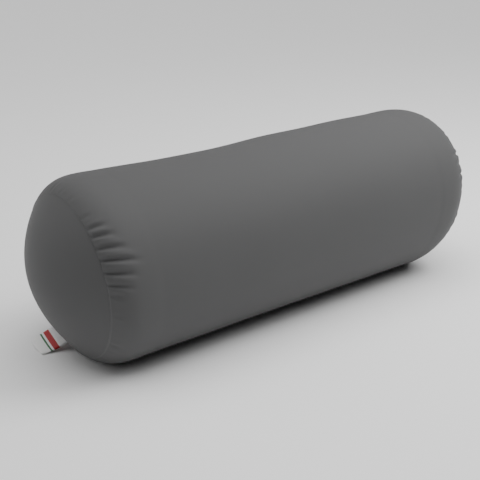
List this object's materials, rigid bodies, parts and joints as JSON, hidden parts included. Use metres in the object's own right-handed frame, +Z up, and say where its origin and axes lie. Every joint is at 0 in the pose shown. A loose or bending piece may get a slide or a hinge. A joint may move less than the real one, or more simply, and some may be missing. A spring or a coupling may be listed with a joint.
{
  "type": "bolster pillow",
  "caption": "Soft cylindrical bolster pillow with domed ends, a zipped knit cover, a folded side label and a sewn, filled insert.",
  "frame": {"origin": "middle of the flat patch that the roll rests on", "axes": "+X along the roll, from the end with the label to the plain end; +Z up; +Y towards the back, where the zipper is"},
  "size_m": [0.512, 0.1819, 0.172],
  "materials": {
    "cover_knit": "matte",
    "cover_thread": "satin",
    "zip_tape": "matte",
    "zip_coil": "satin",
    "zip_metal": "satin",
    "label_weave": "satin",
    "insert_case": "matte",
    "insert_thread": "satin",
    "filling": "matte"
  },
  "bodies": {
    "bolster": {"cover_tube": "cover_knit", "left_end_panel": "cover_knit", "right_end_panel": "cover_knit", "left_seam_thread": "cover_thread", "right_seam_thread": "cover_thread", "zip_tape_upper": "zip_tape", "zip_tape_lower": "zip_tape", "zip_coil_upper": "zip_coil", "zip_coil_lower": "zip_coil", "zip_top_stops": "zip_metal", "zip_bottom_stop": "zip_metal", "zip_topstitching": "cover_thread", "brand_label": "label_weave", "insert_tube": "insert_case", "insert_left_end": "insert_case", "insert_right_end": "insert_case", "insert_left_thread": "insert_thread", "insert_right_thread": "insert_thread", "insert_closing_stitches": "insert_thread", "filling": "filling"},
    "slider": {"zip_slider": "zip_metal"},
    "pull_tab": {"zip_pull_tab": "zip_metal"}
  },
  "joints": [
    {"name": "slider_travel", "type": "slide", "parent": "bolster", "child": "slider", "axis": [1, 0, 0], "range_m": [0, 0.304]},
    {"name": "tab_swing", "type": "hinge", "parent": "slider", "child": "pull_tab", "pos_m": [-0.1514, 0.09075, 0.099], "axis": [0, -0.1736, 0.9848], "range_deg": [0, 178]}
  ]
}
